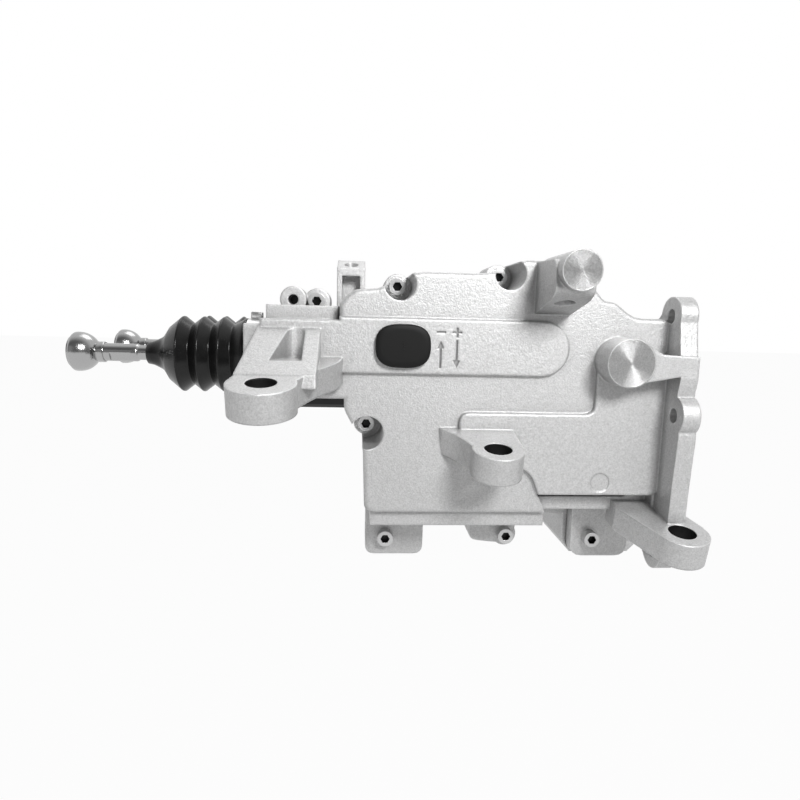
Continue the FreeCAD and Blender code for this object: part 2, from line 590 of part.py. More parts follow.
# Rear housing: the other half of the box, with the rear snout, lower lobe and cable bracket.
rear = body("rear_housing")
lobe_low_z = screw_places[6][1] - 14
rear_outline = outline[:14] + [(right_x + flange_t / 2, rear_low_z), (lower_left_x, rear_low_z)] + outline[16:]
pad_y(rear, soft(rear_outline, 5, 2, sharp), joint_y, rear_y)
round_edges(rear, 3, lambda edge: all(abs(v.Point.y - float(rear_y)) < 0.01 for v in edge.Vertexes))
cut_y(rear, soft([(lower_left_x + 18, casing_low_z + 4), (right_x - 16, casing_low_z + 4),
                  (right_x - 16, snout_top_z - 8), (lower_left_x + 18, snout_top_z - 8)], 9),
      rear_y - 1.5, rear_y + 1)
pad_y(rear, [(right_x - 38, rear_low_z + 1), (right_x + 16, rear_low_z + 20), (right_x + 16, lobe_low_z + 8),
             (right_x + 8, lobe_low_z), (right_x - 32, lobe_low_z), (right_x - 38, lobe_low_z + 8)],
      joint_y, rear_y - 20)
lugs(rear, joint_y, joint_y + 14)
pad_x(rear, (rear_rod_y, rod_z, spigot_r), left_x - spigot_len, left_x)
bracket_x = step_x + 2.2
pad_x(rear, [(joint_y + 14, top_z - 20), (joint_y + 30, top_z - 20), (joint_y + 30, top_z + 11),
             (joint_y + 14, top_z + 5)], bracket_x - 9, bracket_x + 9)
cut_y(rear, inner_top + [(right_x - 14, open_floor_z), (carrier_x + 50, open_floor_z),
                         (carrier_x + 50, motor_floor_z), (lower_left_x + wall_t, motor_floor_z)]
      + inner_left, joint_y, rear_y - wall_t)
cut_x(rear, (rear_rod_y, rod_z, bush_r), left_x - spigot_len, left_x + wall_t + 1)
cut_y(rear, [(bracket_x - 5.7, top_z - 16), (bracket_x + 5.7, top_z - 16), (bracket_x + 5.7, top_z),
             (bracket_x - 5.7, top_z)], joint_y + 12, joint_y + 24)
cut_z(rear, (bracket_x, joint_y + 21, 4.6), top_z - 2, top_z + 12)
cut_y(rear, [(x, z, thread_r + 0.02) for x, z in screw_places], joint_y, joint_y + 12.5)
connector_z = snout_low_z - 8
connector_y = rear_rod_y - 1
cut_x(rear, [(connector_y - 13, connector_z - 5), (connector_y + 13, connector_z - 5),
             (connector_y + 13, connector_z + 5), (connector_y - 13, connector_z + 5)],
      step_x - 10, s4x + scallop + 1)
board_y = rear_y - wall_t - 3
board_spots = [(lower_left_x + 19, casing_low_z + 16), (right_x - 23, casing_low_z + 16),
               (lower_left_x + 19, snout_top_z - 15), (right_x - 23, snout_top_z - 15)]
pad_y(rear, [(x, z, 3.5) for x, z in board_spots], board_y, rear_y - wall_t + 1)
cut_y(rear, [(x, z, board_screw_r + 0.02) for x, z in board_spots], board_y - 1, rear_y - 1)

# Guide bushes, boots and their clamps, once for each rod.
drives = [("front", front_rod_y, 0.0, 1), ("rear", rear_rod_y, rear_set_back, -1)]
for side, y, back, lean in drives:
    turned(side + "_guide_bush", [
        (left_x - spigot_len, tube_r + running), (left_x - spigot_len, bush_r - 0.02),
        (left_x - spigot_len + bush_len, bush_r - 0.02), (left_x - spigot_len + bush_len, tube_r + running),
    ], 0, y, rod_z)
    small = boot_small_x + back
    outer = [(small, neck_r + 0.2), (small, neck_r + 1.8), (small + 6.5, neck_r + 4.2), (small + 10, neck_r + 6),
             (small + 14.5, boot_valley_r - 1)]
    folds = [boot_peak_x + boot_pitch * i for i in range(3)]
    for peak in folds:
        outer += [(peak - 0.7, boot_peak_r), (peak + 0.7, boot_peak_r),
                  (peak + boot_pitch / 2 - 0.6, boot_valley_r), (peak + boot_pitch / 2 + 0.6, boot_valley_r)]
    cuff_x = left_x - spigot_len + 0.8
    outer += [(cuff_x, cuff_r + 0.9), (cuff_x + 1.2, cuff_r), (left_x - 0.3, cuff_r)]
    inner = [(left_x - 0.3, spigot_r + 0.1), (left_x - spigot_len - 0.3, spigot_r + 0.1)]
    for peak in reversed(folds):
        inner += [(peak + boot_pitch / 2, boot_valley_r - boot_wall), (peak, boot_peak_r - boot_wall - 0.6)]
    inner += [(small + 12.5, boot_valley_r - 5), (small + 8, neck_r + 2.6), (small + 6, neck_r + 0.2)]
    turned(side + "_boot", outer + inner, 0, y, rod_z)
    clamp = turned(side + "_boot_clamp", [
        (cuff_x + 1.6, cuff_r + 0.05), (cuff_x + 1.6, cuff_r + clamp_t), (cuff_x + 1.6 + clamp_w, cuff_r + clamp_t),
        (cuff_x + 1.6 + clamp_w, cuff_r + 0.05),
    ], 0, y, rod_z)
    ear_x = cuff_x + 1.6 + clamp_w / 2
    cut_bump = drawn(clamp, "XY_Plane", cuff_r + 0.2, [(ear_x - 3.5, -2.5), (ear_x + 3.5, -2.5),
                                                     (ear_x + 3.5, 2.5), (ear_x - 3.5, 2.5)])
    feature(clamp, "Pad", cut_bump, Length=4.2)
    changed(clamp, 1)

    # The moving rod: ball end, neck and stub; the hollow tube it screws into; the nut on the lead screw.
    ball = ball_x + back
    turned(side + "_push_rod", [
        (ball - nose_x, 0), (ball - nose_x, nose_r - 0.4), (ball - nose_x + 0.4, nose_r),
        (ball - nose_x + 1.4, ball_r - 0.9), (ball - 1.2, ball_r - 0.15), (ball, ball_r),
        (ball + 2.6, ball_r - 0.35), (ball + 5.2, ball_r - 1.5), (ball + 7.6, ball_r - 3.3),
        (ball + 9, rod_r + 1.2), (ball + 11.4, rod_r), (ball + 32.4, rod_r), (ball + 34.6, neck_r),
        (tube_left_x + back + 12, neck_r), (tube_left_x + back + 12, 0),
    ], 0, y, rod_z)
    bore = screw_r + stroke_gap
    turned(side + "_push_tube", [
        (tube_left_x + back, neck_r + 0.02), (tube_left_x + back, tube_r - 1), (tube_left_x + back + 1, tube_r),
        (nut_left_x + back, tube_r), (nut_left_x + back, bore), (2 + back, bore), (back, 2), (back, 0),
        (tube_left_x + back + 12.02, 0), (tube_left_x + back + 12.02, neck_r + 0.02),
    ], 0, y, rod_z)
    turned(side + "_screw_nut", [
        (nut_left_x + back, screw_r + running), (nut_left_x + back, nut_r), (nut_right_x + back, nut_r),
        (nut_right_x + back, screw_r + running),
    ], 0, y, rod_z)

    # The lead screw with its gear and hand wheel, the idler, and the motor with its pinion.
    journal_r = screw_r + 1
    turned(side + "_lead_screw", [
        (6 + back, 0), (6 + back, screw_r - 1), (7 + back, screw_r), (carrier_x - 6, screw_r),
        (carrier_x - 6, journal_r + 2), (carrier_x - 0.3, journal_r + 2), (carrier_x - 0.3, journal_r),
        (gear_left_x + gear_w + 3, journal_r), (gear_left_x + gear_w + 3, 0),
    ], 0, y, rod_z)
    turned(side + "_screw_bearing", [
        (carrier_x, journal_r + running), (carrier_x, bearing_r - 0.02), (carrier_x + carrier_t, bearing_r - 0.02),
        (carrier_x + carrier_t, journal_r + running),
    ], 0, y, rod_z)
    motor_y = y + motor_off * lean
    face = carrier_x
    turned(side + "_motor_case", [
        (face - motor_len, shaft_r + running), (face - motor_len, motor_r - 2), (face - motor_len + 2, motor_r),
        (face, motor_r), (face, shaft_r + running), (face - 4, shaft_r + running), (face - 4, motor_r - 2.5),
        (face - motor_len + 4, motor_r - 2.5), (face - motor_len + 4, shaft_r + running),
    ], 0, motor_y, motor_z)
    turned(side + "_motor_rotor", [
        (face - motor_len - 2, 0), (face - motor_len - 2, shaft_r), (face - motor_len + 6, shaft_r),
        (face - motor_len + 6, motor_r - 5), (face - 8, motor_r - 5), (face - 8, shaft_r),
        (gear_left_x + gear_w + 1, shaft_r), (gear_left_x + gear_w + 1, 0),
    ], 0, motor_y, motor_z)


def gear(name, teeth, bore, y, z, first_tooth):
    """Spur gear: each tooth narrows from its root to its tip, with backlash at the pitch circle."""
    part = doc.addObject("Part::Feature", name)
    part.Label = name
    nodes.append(part)
    pitch_r = float(module) * teeth / 2
    tooth = float(module)
    corners = [(pitch_r - 1.2 * tooth, 0.98), (pitch_r, 0.68), (pitch_r + 0.9 * tooth, 0.34)]
    points = []
    for i in range(teeth):
        middle = first_tooth + 2 * math.pi * i / teeth
        flank = [(r, half * tooth / r) for r, half in corners]
        for r, angle in [(r, -a) for r, a in flank] + [(r, a) for r, a in reversed(flank)]:
            points.append(FreeCAD.Vector(0, r * math.cos(middle + angle), r * math.sin(middle + angle)))
    hole = Part.Wire(Part.makeCircle(float(bore), FreeCAD.Vector(), FreeCAD.Vector(1, 0, 0)))
    face = Part.Face(Part.makePolygon(points + points[:1])).cut(Part.Face(hole))
    part.Shape = face.extrude(FreeCAD.Vector(float(gear_w), 0, 0))
    bind(part, Placement__Base__x=gear_left_x, Placement__Base__y=y, Placement__Base__z=z)


for side, y, back, lean in drives:
    motor_y = y + motor_off * lean
    down = math.atan2(float(idler_z - rod_z), float(motor_off) * lean)
    below = -math.pi / 2
    idler_tooth = down + math.pi + math.pi / idler_teeth
    step = 2 * math.pi / idler_teeth
    ahead = (idler_tooth - below) % step
    pinion_tooth = below + math.pi - ahead * idler_teeth / pinion_teeth + math.pi / pinion_teeth
    gear(side + "_screw_gear", screw_teeth, screw_r + 1.02, y, rod_z, down)
    gear(side + "_idler_gear", idler_teeth, pin_r + running, motor_y, idler_z, idler_tooth)
    gear(side + "_motor_pinion", pinion_teeth, shaft_r + 0.02, motor_y, motor_z, pinion_tooth)

# Bearing carrier: the plate inside the box that holds both bearings, both motors and the idler pins.
carrier = body("bearing_carrier")
pad_x(carrier, [(cavity_y, motor_floor_z), (rear_y - wall_t - 6, motor_floor_z),
                (rear_y - wall_t - 6, snout_top_z - 4), (cavity_y, snout_top_z - 4)], carrier_x, carrier_x + carrier_t)
motor_ys = [front_rod_y + motor_off, rear_rod_y - motor_off]
cut_x(carrier, [(y, rod_z, bearing_r) for y in (front_rod_y, rear_rod_y)]
      + [(y, idler_z, pin_r + 0.02) for y in motor_ys] + [(y, motor_z, shaft_r + 1) for y in motor_ys],
      carrier_x - 1, carrier_x + carrier_t + 1)
for side, y, back, lean in drives:
    turned(side + "_idler_pin", [(carrier_x, 0), (carrier_x, pin_r), (gear_left_x + gear_w + 2, pin_r),
                                 (gear_left_x + gear_w + 2, 0)], 0, y + motor_off * lean, idler_z)

# Service plug: the rubber head lies on the face, its stem fills the opening in the wall.
plug = body("adjuster_plug")
pad_y(plug, soft(oval(plug_x, plug_z, plug_w, plug_high), 9), face_y - plug_t, face_y)
pad_y(plug, oval(plug_x, plug_z, plug_w - plug_lip * 2 - 0.7, plug_high - plug_lip * 2 - 0.7),
      face_y - 1, cavity_y - 2)

# Notched hand wheel on the front lead screw, reached through the plug's opening.
wheel = body("front_adjuster_wheel")
wheel_x = plug_x - 6
pad_x(wheel, (front_rod_y, rod_z, wheel_r), wheel_x, wheel_x + 12)
notches = [(front_rod_y + wheel_r * math.cos(i * math.pi / 6),
            rod_z + wheel_r * math.sin(i * math.pi / 6), 1.9) for i in range(12)]
cut_x(wheel, notches, wheel_x - 1, wheel_x + 13)
cut_x(wheel, (front_rod_y, rod_z, screw_r + 0.02), wheel_x - 1, wheel_x + 13)

# Socket-head screws of the joint, one node of separate screws.
screws = body("casing_screws")
pad_y(screws, [(x, z, cap_r) for x, z in screw_places], screw_seat_y - cap_h, screw_seat_y)
pad_y(screws, [(x, z, thread_r) for x, z in screw_places], screw_seat_y - 1, joint_y + 12)
cut_y(screws, [[(x + cap_socket_r * math.cos(i * math.pi / 3), z + cap_socket_r * math.sin(i * math.pi / 3))
                for i in range(6)]
               for x, z in screw_places], screw_seat_y - cap_h - 1, screw_seat_y - cap_h + 3.4)

# Control board on its four pillars, its screws, its capacitors, and the connector with its pins.
board = body("control_board")
board_t = 1.6
pad_y(board, [(lower_left_x + 14.4, casing_low_z + 9), (right_x - 17, casing_low_z + 9),
              (right_x - 17, snout_top_z - 9), (lower_left_x + 14.4, snout_top_z - 9)], board_y - board_t, board_y)
cut_y(board, [(x, z, board_screw_r + 0.3) for x, z in board_spots], board_y - board_t - 1, board_y + 1)
board_screws = body("board_screws")
pad_y(board_screws, [(x, z, board_screw_r * 2) for x, z in board_spots], board_y - board_t - 2, board_y - board_t)
pad_y(board_screws, [(x, z, board_screw_r) for x, z in board_spots], board_y - board_t - 1, board_y + 6)
capacitors = body("board_capacitors")
pad_y(capacitors, [(right_x - 60 + 17 * i, snout_low_z - 20, 6.3) for i in range(3)],
      board_y - board_t - 14, board_y - board_t)

shell = body("connector_shell")
shell_x = step_x - 31


def connector_outline(half_width, half_high):
    """Outline of the connector seen along X, with its corners cut."""
    c = half_high / 3
    return [(connector_y - half_width, connector_z - half_high + c), (connector_y - half_width + c, connector_z - half_high),
            (connector_y + half_width - c, connector_z - half_high), (connector_y + half_width, connector_z - half_high + c),
            (connector_y + half_width, connector_z + half_high - c), (connector_y + half_width - c, connector_z + half_high),
            (connector_y - half_width + c, connector_z + half_high), (connector_y - half_width, connector_z + half_high - c)]


pad_x(shell, connector_outline(15, 7), shell_x, step_x)
pad_x(shell, [(connector_y - 12.98, connector_z - 4.98), (connector_y + 12.98, connector_z - 4.98),
              (connector_y + 12.98, connector_z + 4.98), (connector_y - 12.98, connector_z + 4.98)],
      step_x - 1, s4x + scallop + 1)
cut_x(shell, connector_outline(13, 5), shell_x - 1, shell_x + 22)
pin_spots = [(connector_y - 8 + 4 * i, connector_z + 2 * j) for i in range(5) for j in (-1, 1)]


def squares(half):
    """Small squares round the pin places."""
    return [[(y - half, z - half), (y + half, z - half), (y + half, z + half), (y - half, z + half)]
            for y, z in pin_spots]


cut_x(shell, squares(0.62), shell_x + 21, s4x + scallop + 2)
pins = body("connector_pins")
pad_x(pins, squares(0.6), shell_x + 8, s4x + scallop + 4)

doc.recompute()
for thing in doc.Objects:
    if "Invalid" in thing.State or "Error" in thing.State:
        raise RuntimeError(f"{thing.Name} did not compute: {thing.State}")
for part in nodes:
    if part.Shape.isNull() or not part.Shape.isValid() or part.Shape.Volume <= 0:
        raise RuntimeError(f"{part.Label} is not a valid solid")
os.makedirs("parts", exist_ok=True)
for part in nodes:
    part.Shape.exportStep(f"parts/{part.Label}.step")
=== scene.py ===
"""Twin clutch actuator on a white studio ground, seen a little from above and from its front face."""
import math
import bmesh
import bpy
from mathutils import Matrix, Vector


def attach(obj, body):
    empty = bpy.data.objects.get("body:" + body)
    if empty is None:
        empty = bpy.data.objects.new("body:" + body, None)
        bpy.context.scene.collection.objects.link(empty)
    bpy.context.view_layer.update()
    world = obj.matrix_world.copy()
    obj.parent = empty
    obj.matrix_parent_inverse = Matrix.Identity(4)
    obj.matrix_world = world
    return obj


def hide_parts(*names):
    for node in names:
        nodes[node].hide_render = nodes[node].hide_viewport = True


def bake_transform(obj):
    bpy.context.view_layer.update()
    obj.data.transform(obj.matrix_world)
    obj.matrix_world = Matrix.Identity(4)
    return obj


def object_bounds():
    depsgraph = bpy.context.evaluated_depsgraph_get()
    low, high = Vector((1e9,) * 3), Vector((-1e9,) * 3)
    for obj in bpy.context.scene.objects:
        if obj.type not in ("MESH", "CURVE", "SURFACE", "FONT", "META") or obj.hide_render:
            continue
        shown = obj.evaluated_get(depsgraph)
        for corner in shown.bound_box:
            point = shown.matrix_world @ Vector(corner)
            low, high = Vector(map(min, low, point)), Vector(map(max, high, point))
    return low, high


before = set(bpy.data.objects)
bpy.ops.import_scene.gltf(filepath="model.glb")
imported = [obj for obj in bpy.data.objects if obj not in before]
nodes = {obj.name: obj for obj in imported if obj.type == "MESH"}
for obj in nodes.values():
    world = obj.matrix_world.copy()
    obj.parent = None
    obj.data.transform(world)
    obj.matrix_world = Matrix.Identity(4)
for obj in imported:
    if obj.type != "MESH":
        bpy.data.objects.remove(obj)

cad_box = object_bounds()

# Camera: a 27 mm view from about a third of a metre in front of the casing, tipped down a little.
camera = bpy.data.objects.new("camera", bpy.data.cameras.new("camera"))
camera.data.lens = 27
camera.data.sensor_width = 36
camera.data.clip_start = 0.01
across = Vector((0.99747634, -0.06609832, 0.0259222))
down = Vector((0.01640828, -0.14061252, -0.98992873))
ahead = Vector((0.06907761, 0.98785583, -0.1391731))
camera.matrix_world = Matrix.Translation((0.04616, -0.28593, 0.03317)) @ Matrix(
    (across, -down, -ahead)).transposed().to_4x4()
bpy.context.scene.collection.objects.link(camera)
bpy.context.scene.camera = camera
bpy.context.scene.view_settings.view_transform = "Standard"


# White studio ground and surroundings. The ground looks white to the camera and in metal, and keeps a
# faint shadow. The surroundings look white to the camera; in metal they darken toward the front.
class Paint:
    """A number or vector on its way through a material's nodes."""

    def __init__(self, tree, out):
        self.tree = tree
        self.out = out

    def math(self, operation, *values):
        return node(self.tree, "ShaderNodeMath", {"operation": operation}, *values)

    def __add__(self, other):
        return self.math("ADD", self, other)

    def __sub__(self, other):
        return self.math("SUBTRACT", self, other)

    def __mul__(self, other):
        return self.math("MULTIPLY", self, other)

    def __rsub__(self, other):
        return self.math("SUBTRACT", other, self)

    def __lt__(self, other):
        return self.math("LESS_THAN", self, other)

    def __gt__(self, other):
        return self.math("GREATER_THAN", self, other)

    __radd__ = __add__
    __rmul__ = __mul__


def node(tree, kind, settings, *values, output=0, **named):
    """One shader node: its settings first, then what its sockets hold or are linked to."""
    made = tree.nodes.new(kind)
    for word, value in settings.items():
        setattr(made, word, value)
    for key, value in [*enumerate(values), *named.items()]:
        socket = made.inputs[key.replace("_", " ") if isinstance(key, str) else key]
        if isinstance(value, Paint):
            tree.links.new(value.out, socket)
        else:
            socket.default_value = value
    return Paint(tree, made.outputs[output])


def tree_of(owner):
    """An empty node tree on a material or world."""
    owner.use_nodes = True
    owner.node_tree.nodes.clear()
    return owner.node_tree


def finish_tree(tree, surface, kind="ShaderNodeOutputMaterial"):
    """Links a shader to the tree's output."""
    tree.links.new(surface.out, tree.nodes.new(kind).inputs["Surface"])


def seen_rays(tree):
    """1 for rays that show the surroundings: straight, mirrored or through glass."""
    path = node(tree, "ShaderNodeLightPath", {}, output="Is Camera Ray")
    outs = path.out.node.outputs
    mirrored = path.math("MAXIMUM", path, Paint(tree, outs["Is Glossy Ray"]))
    return path.math("MAXIMUM", mirrored, Paint(tree, outs["Is Transmission Ray"]))


world = bpy.data.worlds.new("studio")
bpy.context.scene.world = world
tree = tree_of(world)
path = node(tree, "ShaderNodeLightPath", {}, output="Is Camera Ray")
mirrored = Paint(tree, path.out.node.outputs["Is Glossy Ray"])
toward = node(tree, "ShaderNodeTexCoord", {}, output="Generated")
depth = Paint(tree, node(tree, "ShaderNodeSeparateXYZ", {}, toward).out.node.outputs[1])
darkest, lightest, ambient = 0.16, 0.9, 0.09
room = node(tree, "ShaderNodeMapRange", {}, depth, -0.45, 0.1, darkest, lightest)
strength = path + (1 - path) * (mirrored * room + (1 - mirrored) * ambient)
sky = node(tree, "ShaderNodeBackground", {}, (1, 1, 1, 1), strength)
finish_tree(tree, sky, "ShaderNodeOutputWorld")

ground = bpy.data.meshes.new("ground")
shape = bmesh.new()
bmesh.ops.create_grid(shape, x_segments=1, y_segments=1, size=3)
bmesh.ops.translate(shape, verts=shape.verts, vec=(0, 0, cad_box[0][2] - 0.0005))
shape.to_mesh(ground)
shape.free()
ground = bpy.data.objects.new("ground", ground)
bpy.context.scene.collection.objects.link(ground)
white = bpy.data.materials.new("white_ground")
tree = tree_of(white)
matte = node(tree, "ShaderNodeBsdfDiffuse", {}, (0.2, 0.2, 0.2, 1))
glow = node(tree, "ShaderNodeEmission", {}, (1, 1, 1, 1), 1.0)
finish_tree(tree, node(tree, "ShaderNodeMixShader", {}, seen_rays(tree) * 0.97, matte, glow))
ground.data.materials.append(white)


def lamp(name, place, target, size, watts):
    """A square soft box that faces the target."""
    light = bpy.data.objects.new(name, bpy.data.lights.new(name, "AREA"))
    light.data.size = size
    light.data.energy = watts
    light.location = place
    light.rotation_euler = (Vector(target) - Vector(place)).to_track_quat("-Z", "Y").to_euler()
    bpy.context.scene.collection.objects.link(light)


lamp("key", (0.36, -0.70, 0.50), (0.08, 0.05, 0), 0.26, 9.0)
lamp("fill", (-0.7, -0.8, 0.25), (0.05, 0.05, 0), 0.7, 0.35)
lamp("rim", (0.1, 0.5, 0.8), (0.1, 0.08, 0), 0.5, 1.5)


# Die-cast casing halves and the carrier inside: aluminium with a blasted skin. The ends of the two
# bosses are faced on a lathe, which leaves fine rings. The ears' bores get painted shade inside.
def cast_metal(name, base, discs, bores, marks):
    """Blasted die casting. Discs (x, y, z, radius) are faced on a lathe, bores (x, y, z, radius) lean
    with the ears and get painted shade inside, marks is the box round the sunken signs, which get painted
    shade too. All in metres."""
    material = bpy.data.materials.new(name)
    tree = tree_of(material)
    spot = node(tree, "ShaderNodeTexCoord", {}, output="Object")
    grain = node(tree, "ShaderNodeTexNoise", {}, Vector=spot, Scale=1100.0, Detail=3.0, Roughness=0.6)
    pits = node(tree, "ShaderNodeTexNoise", {}, Vector=spot, Scale=420.0, Detail=2.0, Roughness=0.5)
    cloud = node(tree, "ShaderNodeTexNoise", {}, Vector=spot, Scale=22.0, Detail=4.0, Roughness=0.6)
    split = node(tree, "ShaderNodeSeparateXYZ", {}, spot)
    x, y, z = (Paint(tree, split.out.node.outputs[i]) for i in range(3))
    ring_pitch, faced_depth = 0.0006, 0.0004
    turned = 0.0
    rings = 0.0
    for cx, cy, cz, radius in discs:
        dx, dz = x - cx, z - cz
        far = (dx * dx + dz * dz).math("SQRT", dx * dx + dz * dz)
        near = (far < radius) * ((y - cy).math("ABSOLUTE", y - cy) < faced_depth)
        wave = far.math("SINE", far * (2 * math.pi / ring_pitch))
        turned = near + turned
        rings = near * wave + rings
    tilt, half_ear = math.radians(12), 0.0071
    # Painted shade: the colour goes nearly black inside the ears' bores.
    painted_shade = 0.0
    for cx, cy, cz, radius in bores:
        dx, dy, dz = x - cx, y - cy, z - cz
        along = dz * math.cos(tilt) - dy * math.sin(tilt)
        away = dx * dx + dy * dy + dz * dz - along * along
        painted_shade = (away < (radius * 1.02) ** 2) * (along * along < half_ear ** 2) + painted_shade
    (x0, y0, z0), (x1, y1, z1) = marks
    # Painted shade: the sunken signs are darkened a little in the colour.
    painted_shade = (x > x0) * (x < x1) * (y > y0) * (y < y1) * (z > z0) * (z < z1) * 0.3 + painted_shade
    # The faint step on the lower wall: the rounded corner of a slightly raised field.
    right, top, corner = 0.1755, -0.047, 0.0062
    fade_z, fade_x, wall = (-0.074, -0.062), (0.056, 0.064), (0.0446, 0.0484)
    out_x, out_z = (x - (right - corner)), (z - (top - corner))
    out_x, out_z = out_x.math("MAXIMUM", out_x, 0.0), out_z.math("MAXIMUM", out_z, 0.0)
    reach = (out_x * out_x + out_z * out_z)
    fade = node(tree, "ShaderNodeMapRange", {}, z, *fade_z, 0.0, 1.0)
    fade = fade * node(tree, "ShaderNodeMapRange", {}, x, *fade_x, 0.0, 1.0)
    field = (reach.math("SQRT", reach) < corner) * (y < wall[1]) * (y > wall[0]) * fade
    height = grain * 1.0 + pits * 0.6
    height = height * (1 - turned) + rings * 0.35 + field * 0.6
    edge = node(tree, "ShaderNodeBevel", {"samples": 8}, 0.0016)
    bump = node(tree, "ShaderNodeBump", {}, Strength=0.55, Distance=0.0004, Height=height, Normal=edge)
    flat = node(tree, "ShaderNodeNewGeometry", {}, output="Normal")
    bend = node(tree, "ShaderNodeVectorMath", {"operation": "DOT_PRODUCT"}, edge, flat, output="Value")
    hollow = node(tree, "ShaderNodeAmbientOcclusion", {"samples": 8, "only_local": True}, Distance=0.007,
                  output="AO")
    # Painted shade and painted highlight: the ambient occlusion darkens the colour in creases and hollows,
    # and the edge mask from the bevel node lightens the outer edges.
    tone = grain * 0.7 + pits * 0.22 + cloud * 0.08 + 0.1
    tone = tone * (hollow * 0.75 + 0.25) + (1 - bend) * hollow * 1.2 - turned * 0.3
    tone = tone * (1 - painted_shade * 0.97)
    light = node(tree, "ShaderNodeMix", {"data_type": "RGBA"}, output=2)
    mixed = light.out.node
    mixed.inputs[6].default_value = tuple(c * 0.35 for c in base) + (1,)
    mixed.inputs[7].default_value = tuple(min(1, c * 1.3) for c in base) + (1,)
    tree.links.new(tone.out, mixed.inputs[0])
    shade = node(tree, "ShaderNodeMix", {"data_type": "RGBA"}, output=2)
    tree.links.new(painted_shade.out, shade.out.node.inputs[0])
    tree.links.new(light.out, shade.out.node.inputs[6])
    shade.out.node.inputs[7].default_value = (0.02, 0.02, 0.02, 1)
    rough = 0.44 + cloud * 0.1 - turned * 0.16
    surface = node(tree, "ShaderNodeBsdfPrincipled", {}, Base_Color=shade, Roughness=rough, Metallic=0.62,
                   Normal=bump)
    finish_tree(tree, surface)
    return material


bosses = [(0.1548, 0.007, 0.0576, 0.0098), (0.1934, 0.029, 0.0107, 0.0129)]
ears = [(0, 0, 0, 0.0075), (0.1203, 0.0215593, -0.0425361, 0.0075), (0.2265, 0.0235593, -0.0888361, 0.0075)]
signs = ((0.0885, 0.04505, 0.0025), (0.1035, 0.0458, 0.028))
casting = cast_metal("blasted_casting", (0.66, 0.66, 0.66), bosses, ears, signs)
for piece in ("front_casing", "rear_housing", "bearing_carrier"):
    nodes[piece].data.materials.clear()
    nodes[piece].data.materials.append(casting)

# End of the tapped hole beside the first screw: a dark disc of painted shade, so that the hole looks blind.
# In the CAD it goes right through.
hole_end_shade = cast_metal("painted_shade_hole_end", (0.05, 0.05, 0.05), [], [], ((0, 0, 0), (0, 0, 0)))
hole_radius, hole_place = 0.00302, (0.0066, 0.0905, 0.0411)
hole_end = bpy.data.meshes.new("tapped_hole_end")
shape = bmesh.new()
bmesh.ops.create_circle(shape, cap_ends=True, segments=48, radius=hole_radius)
bmesh.ops.rotate(shape, verts=shape.verts, cent=(0, 0, 0), matrix=Matrix.Rotation(math.radians(90), 3, "X"))
bmesh.ops.translate(shape, verts=shape.verts, vec=hole_place)
shape.to_mesh(hole_end)
shape.free()
hole_end.materials.append(hole_end_shade)
hole_end = bpy.data.objects.new("tapped_hole_end", hole_end)
bpy.context.scene.collection.objects.link(hole_end)
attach(hole_end, "casing")

# Gasket between the casing halves: a dark fibre sheet that shows as a thin line.
gasket_sheet = bpy.data.materials.new("gasket_fibre")
tree = tree_of(gasket_sheet)
spot = node(tree, "ShaderNodeTexCoord", {}, output="Object")
fibre = node(tree, "ShaderNodeTexNoise", {}, Vector=spot, Scale=900.0, Detail=2.0)
bump = node(tree, "ShaderNodeBump", {}, Strength=0.2, Distance=0.0002, Height=fibre)
finish_tree(tree, node(tree, "ShaderNodeBsdfPrincipled", {}, Base_Color=(0.1, 0.1, 0.1, 1), Roughness=0.8,
                       Normal=bump))
nodes["casing_gasket"].data.materials.clear()
nodes["casing_gasket"].data.materials.append(gasket_sheet)


# Push rods: bright turned steel. Each has a ball with a faced nose and a collar behind it, a shank
# with two wrench flats, and a thinner neck that runs into the boot.
def turned_steel(name, tone, roughness, pitch):
    """Turned steel with fine tool lines across X."""
    material = bpy.data.materials.new(name)
    tree = tree_of(material)
    spot = node(tree, "ShaderNodeTexCoord", {}, output="Object")
    split = node(tree, "ShaderNodeSeparateXYZ", {}, spot)
    x = Paint(tree, split.out.node.outputs[0])
    haze = node(tree, "ShaderNodeTexNoise", {}, Vector=spot, Scale=240.0, Detail=3.0)
    lines = (x + haze * 0.0001).math("SINE", (x + haze * 0.0001) * (2 * math.pi / pitch))
    bump = node(tree, "ShaderNodeBump", {}, Strength=0.07, Distance=0.0001, Height=lines)
    finish_tree(tree, node(tree, "ShaderNodeBsdfPrincipled", {}, Base_Color=tone + (1,),
                           Roughness=haze * 0.14 + (roughness - 0.07), Metallic=1.0, Normal=bump))
    return material


def spun(name, profile, y, z, body, material, steps=96, smooth=35, flats=None):
    """A turned piece: (x, radius) points in millimetres spun about an axis along X, with two flats
    milled on it between two places (x, x, half width) if asked."""
    shape = bmesh.new()
    ring = [shape.verts.new((px / 1000, 0, pr / 1000)) for px, pr in profile]
    edges = [shape.edges.new(pair) for pair in zip(ring, ring[1:])]
    bmesh.ops.spin(shape, geom=ring + edges, cent=(0, 0, 0), axis=(1, 0, 0), angle=2 * math.pi, steps=steps,
                   use_merge=True)
    bmesh.ops.remove_doubles(shape, verts=shape.verts, dist=1e-6)
    if flats:
        low, high, half = (value / 1000 for value in flats)
        way = Vector((0, -0.82, -0.57))
        for vert in shape.verts:
            off = vert.co.dot(way)
            if low < vert.co.x < high and abs(off) > half:
                vert.co -= way * (off - math.copysign(half, off))
    bmesh.ops.translate(shape, verts=shape.verts, vec=(0, y / 1000, z / 1000))
    bmesh.ops.recalc_face_normals(shape, faces=shape.faces)
    return settled(name, shape, body, material, smooth)


